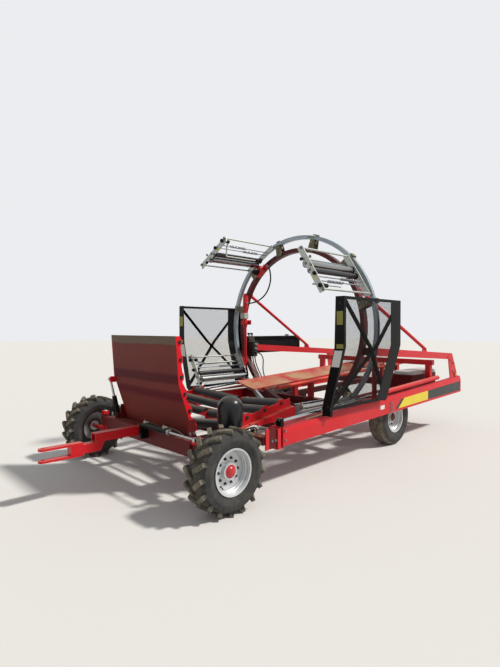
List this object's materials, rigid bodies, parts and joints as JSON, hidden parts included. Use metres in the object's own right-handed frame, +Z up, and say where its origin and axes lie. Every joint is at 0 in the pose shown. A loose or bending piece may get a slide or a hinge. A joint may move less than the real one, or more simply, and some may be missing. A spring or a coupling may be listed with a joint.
{
  "type": "towed inline bale wrapper",
  "caption": "Towed farm machine that wraps round bales end to end in film: a wheeled frame, a large upright hoop with film dispensers, roller table and folding tailgate.",
  "frame": {"origin": "on the ground, halfway along the machine and on its centre plane", "axes": "+X towards the drawbar, +Y to the left side, +Z up"},
  "size_m": [6.43, 3.02, 2.9698],
  "materials": {
    "red_paint": "gloss red machine paint, dusty",
    "frame_paint": "red machine paint in shade, dirty",
    "gate_paint": "worn red paint with a dull shine",
    "black_paint": "satin black powder coat",
    "galvanised": "galvanised",
    "bare_steel": "bare steel",
    "rod_chrome": "hard chrome",
    "rim_paint": "silver wheel paint",
    "tyre": "dusty tyre rubber",
    "roller_rubber": "smooth black rubber sleeve",
    "drum_plastic": "black moulded plastic",
    "yellow_zinc": "yellow zinc plating, dusty",
    "roller_steel": "smooth rolled steel",
    "net": "black open net",
    "cover_plastic": "light grey moulded cover"
  },
  "bodies": {
    "root": {"side_beams": "red_paint", "cross_members": "frame_paint", "front_axle_beam": "frame_paint", "drawbar": "red_paint", "table_side_plates": "red_paint", "table_spine": "red_paint", "table_rollers": "roller_rubber", "guide_drums": "drum_plastic", "hoop": "red_paint", "hoop_guide_rollers": "yellow_zinc", "hoop_stays": "red_paint", "side_rails": "red_paint", "loading_deck": "red_paint", "side_guards": "black_paint", "guard_nets": "net", "ring_drive": "frame_paint", "film_cutter": "red_paint", "oil_tank": "black_paint", "valve_block": "bare_steel", "bay_cover": "cover_plastic", "rear_axle": "frame_paint", "push_rods": "rod_chrome", "steering_cylinder": "black_paint"},
    "film_ring": {"film_ring": "galvanised", "dispenser_frames": "galvanised", "stretch_rollers": "roller_steel", "film_rollers": "roller_rubber"},
    "tailgate": {"tailgate_sheet": "gate_paint", "tailgate_rollers": "roller_rubber"},
    "gate_cylinder": {"gate_cylinder": "black_paint"},
    "gate_cylinder_rod": {"gate_cylinder_rod": "rod_chrome"},
    "push_frame": {"push_frame": "red_paint", "push_barrels": "black_paint"},
    "left_knuckle": {"left_knuckle": "red_paint"},
    "right_knuckle": {"right_knuckle": "red_paint"},
    "tie_rod": {"tie_rod": "bare_steel"},
    "steering_rod": {"steering_rod": "rod_chrome"},
    "front_left_wheel": {"front_left_tyre": "tyre", "front_left_rim": "rim_paint"},
    "front_right_wheel": {"front_right_tyre": "tyre", "front_right_rim": "rim_paint"},
    "rear_left_wheel": {"rear_left_tyre": "tyre", "rear_left_rim": "rim_paint"},
    "rear_right_wheel": {"rear_right_tyre": "tyre", "rear_right_rim": "rim_paint"}
  },
  "joints": [
    {"name": "ring_spin", "type": "hinge", "parent": "root", "child": "film_ring", "pos_m": [-0.4, 0, 1.63], "axis": [1, 0, 0], "continuous": true},
    {"name": "gate_fold", "type": "hinge", "parent": "root", "child": "tailgate", "pos_m": [1.97, 0, 0.7], "axis": [0, 1, 0], "range_deg": [0, 70]},
    {"name": "gate_cylinder_swing", "type": "hinge", "parent": "root", "child": "gate_cylinder", "pos_m": [2.05, -0.7093, 0.6], "axis": [0, 1, 0], "range_deg": [0, 68.48]},
    {"name": "gate_rod_slide", "type": "slide", "parent": "gate_cylinder", "child": "gate_cylinder_rod", "axis": [0.2265, 0, 0.974], "range_m": [-0.1468, 0]},
    {"name": "push_slide", "type": "slide", "parent": "root", "child": "push_frame", "axis": [0.9989, 0, -0.0479], "range_m": [0, 1.7]},
    {"name": "left_steer", "type": "hinge", "parent": "root", "child": "left_knuckle", "pos_m": [2.07, 1, 0.5], "axis": [0, 0, 1], "range_deg": [-22, 22]},
    {"name": "right_steer", "type": "hinge", "parent": "root", "child": "right_knuckle", "pos_m": [2.07, -1, 0.5], "axis": [0, 0, 1], "range_deg": [-22, 22]},
    {"name": "tie_rod_slide", "type": "slide", "parent": "root", "child": "tie_rod", "axis": [0, -1, 0], "range_m": [-0.0616, 0.0616]},
    {"name": "steering_rod_slide", "type": "slide", "parent": "root", "child": "steering_rod", "axis": [0, 1, 0], "range_m": [-0.0501, 0.0501]},
    {"name": "front_left_spin", "type": "hinge", "parent": "left_knuckle", "child": "front_left_wheel", "pos_m": [2.07, 1.285, 0.38], "axis": [0, 1, 0], "continuous": true},
    {"name": "front_right_spin", "type": "hinge", "parent": "right_knuckle", "child": "front_right_wheel", "pos_m": [2.07, -1.285, 0.38], "axis": [0, 1, 0], "continuous": true},
    {"name": "rear_left_spin", "type": "hinge", "parent": "root", "child": "rear_left_wheel", "pos_m": [-1.2, 1.036, 0.38], "axis": [0, 1, 0], "continuous": true},
    {"name": "rear_right_spin", "type": "hinge", "parent": "root", "child": "rear_right_wheel", "pos_m": [-1.2, -1.036, 0.38], "axis": [0, 1, 0], "continuous": true}
  ],
  "couplings": [
    {"joint": "gate_cylinder_swing", "follows": "gate_fold", "ratio": 0.97689},
    {"joint": "gate_rod_slide", "follows": "gate_fold", "m_per_rad": -0.11996},
    {"joint": "right_steer", "follows": "left_steer", "ratio": 1},
    {"joint": "tie_rod_slide", "follows": "left_steer", "m_per_rad": 0.16},
    {"joint": "steering_rod_slide", "follows": "left_steer", "m_per_rad": 0.13}
  ]
}
